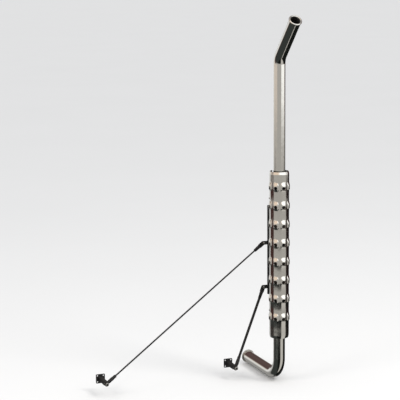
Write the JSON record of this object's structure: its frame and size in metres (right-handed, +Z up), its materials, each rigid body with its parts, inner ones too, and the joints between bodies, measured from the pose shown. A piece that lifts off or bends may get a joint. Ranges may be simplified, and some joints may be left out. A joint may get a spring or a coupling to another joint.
{
  "type": "vertical exhaust stack",
  "caption": "Upright truck exhaust stack: slanted rolled-lip outlet pipe, vented chrome heat shield over a muffler, forward elbow, black support post and stay rods.",
  "frame": {"origin": "middle of the support post's flat forward face", "axes": "+Z up along the stack's pipe, +Y forward, the way the inlet elbow runs, and -Y rearward, the way the outlet leans; the stay rods lie towards -X"},
  "size_m": [1.448, 0.9108, 2.8185],
  "materials": {
    "chrome": "polished, slightly hazed",
    "bare_steel": "heat-tinted aluminised steel",
    "zinc_plate": "dull zinc plate",
    "black_paint": "satin black powder coat",
    "black_rubber": "matte",
    "mineral_wool": "fibrous"
  },
  "bodies": {
    "mounted_frame": {"muffler_shell": "bare_steel", "muffler_lower_head": "bare_steel", "muffler_upper_head": "bare_steel", "inlet_nipple": "bare_steel", "outlet_nipple": "bare_steel", "perforated_core": "bare_steel", "sound_packing": "mineral_wool", "heat_shield": "chrome", "upper_strap": "bare_steel", "lower_strap": "bare_steel", "shield_standoff_upper_right": "zinc_plate", "shield_standoff_upper_left": "zinc_plate", "shield_standoff_lower_right": "zinc_plate", "shield_standoff_lower_left": "zinc_plate", "shield_screw_upper_right": "zinc_plate", "shield_screw_upper_left": "zinc_plate", "shield_screw_lower_right": "zinc_plate", "shield_screw_lower_left": "zinc_plate", "upper_strap_bolt": "zinc_plate", "upper_strap_nut": "zinc_plate", "upper_post_bolt": "zinc_plate", "upper_post_nut": "zinc_plate", "lower_strap_bolt": "zinc_plate", "lower_strap_nut": "zinc_plate", "lower_post_bolt": "zinc_plate", "lower_post_nut": "zinc_plate", "support_post": "black_paint", "upper_bracket": "black_paint", "lower_bracket": "black_paint", "upper_lug": "black_paint", "lower_lug": "black_paint", "post_cap_top": "black_rubber", "post_cap_bottom": "black_rubber", "upper_isolator": "black_rubber", "lower_isolator": "black_rubber", "lower_clamp_band": "zinc_plate", "lower_clamp_bolt": "zinc_plate", "lower_clamp_nut": "zinc_plate"},
    "upper_clamp": {"upper_clamp_band": "zinc_plate", "upper_clamp_bolt": "zinc_plate", "upper_clamp_nut": "zinc_plate"},
    "outlet_stack": {"stack_pipe": "chrome", "outlet_tip": "chrome", "rolled_lip": "chrome"},
    "inlet_elbow": {"elbow_pipe": "chrome", "inlet_flange": "zinc_plate"},
    "upper_stay": {"upper_stay_fork": "black_paint", "upper_stay_pin": "zinc_plate", "upper_stay_rod": "black_paint", "upper_stay_eye": "black_paint"},
    "upper_stay_foot": {"upper_foot": "black_paint", "upper_foot_nut": "zinc_plate"},
    "lower_stay": {"lower_stay_fork": "black_paint", "lower_stay_pin": "zinc_plate", "lower_stay_rod": "black_paint", "lower_stay_eye": "black_paint"},
    "lower_stay_foot": {"lower_foot": "black_paint", "lower_foot_nut": "zinc_plate"}
  },
  "joints": [
    {"name": "stack_aim", "type": "hinge", "parent": "mounted_frame", "child": "upper_clamp", "pos_m": [0, -0.199, 0.57], "axis": [0, 0, 1], "continuous": true},
    {"name": "stack_slip", "type": "slide", "parent": "upper_clamp", "child": "outlet_stack", "axis": [0, 0, 1], "range_m": [0, 0.09]},
    {"name": "elbow_aim", "type": "hinge", "parent": "mounted_frame", "child": "inlet_elbow", "pos_m": [0, -0.199, -0.57], "axis": [0, 0, 1], "range_deg": [-180, 0]},
    {"name": "upper_stay_swing", "type": "hinge", "parent": "mounted_frame", "child": "upper_stay", "pos_m": [-0.048, -0.011, 0.058], "axis": [0, 1, 0], "range_deg": [-20, 35]},
    {"name": "upper_foot_swivel", "type": "hinge", "parent": "upper_stay", "child": "upper_stay_foot", "pos_m": [-1.33, -0.011, -0.908], "axis": [0, 1, 0], "range_deg": [-60, 60]},
    {"name": "lower_stay_swing", "type": "hinge", "parent": "mounted_frame", "child": "lower_stay", "pos_m": [-0.048, -0.011, -0.288], "axis": [0, 1, 0], "range_deg": [-15, 15]},
    {"name": "lower_foot_swivel", "type": "hinge", "parent": "lower_stay", "child": "lower_stay_foot", "pos_m": [-0.285, -0.011, -0.908], "axis": [0, 1, 0], "range_deg": [-60, 60]}
  ]
}
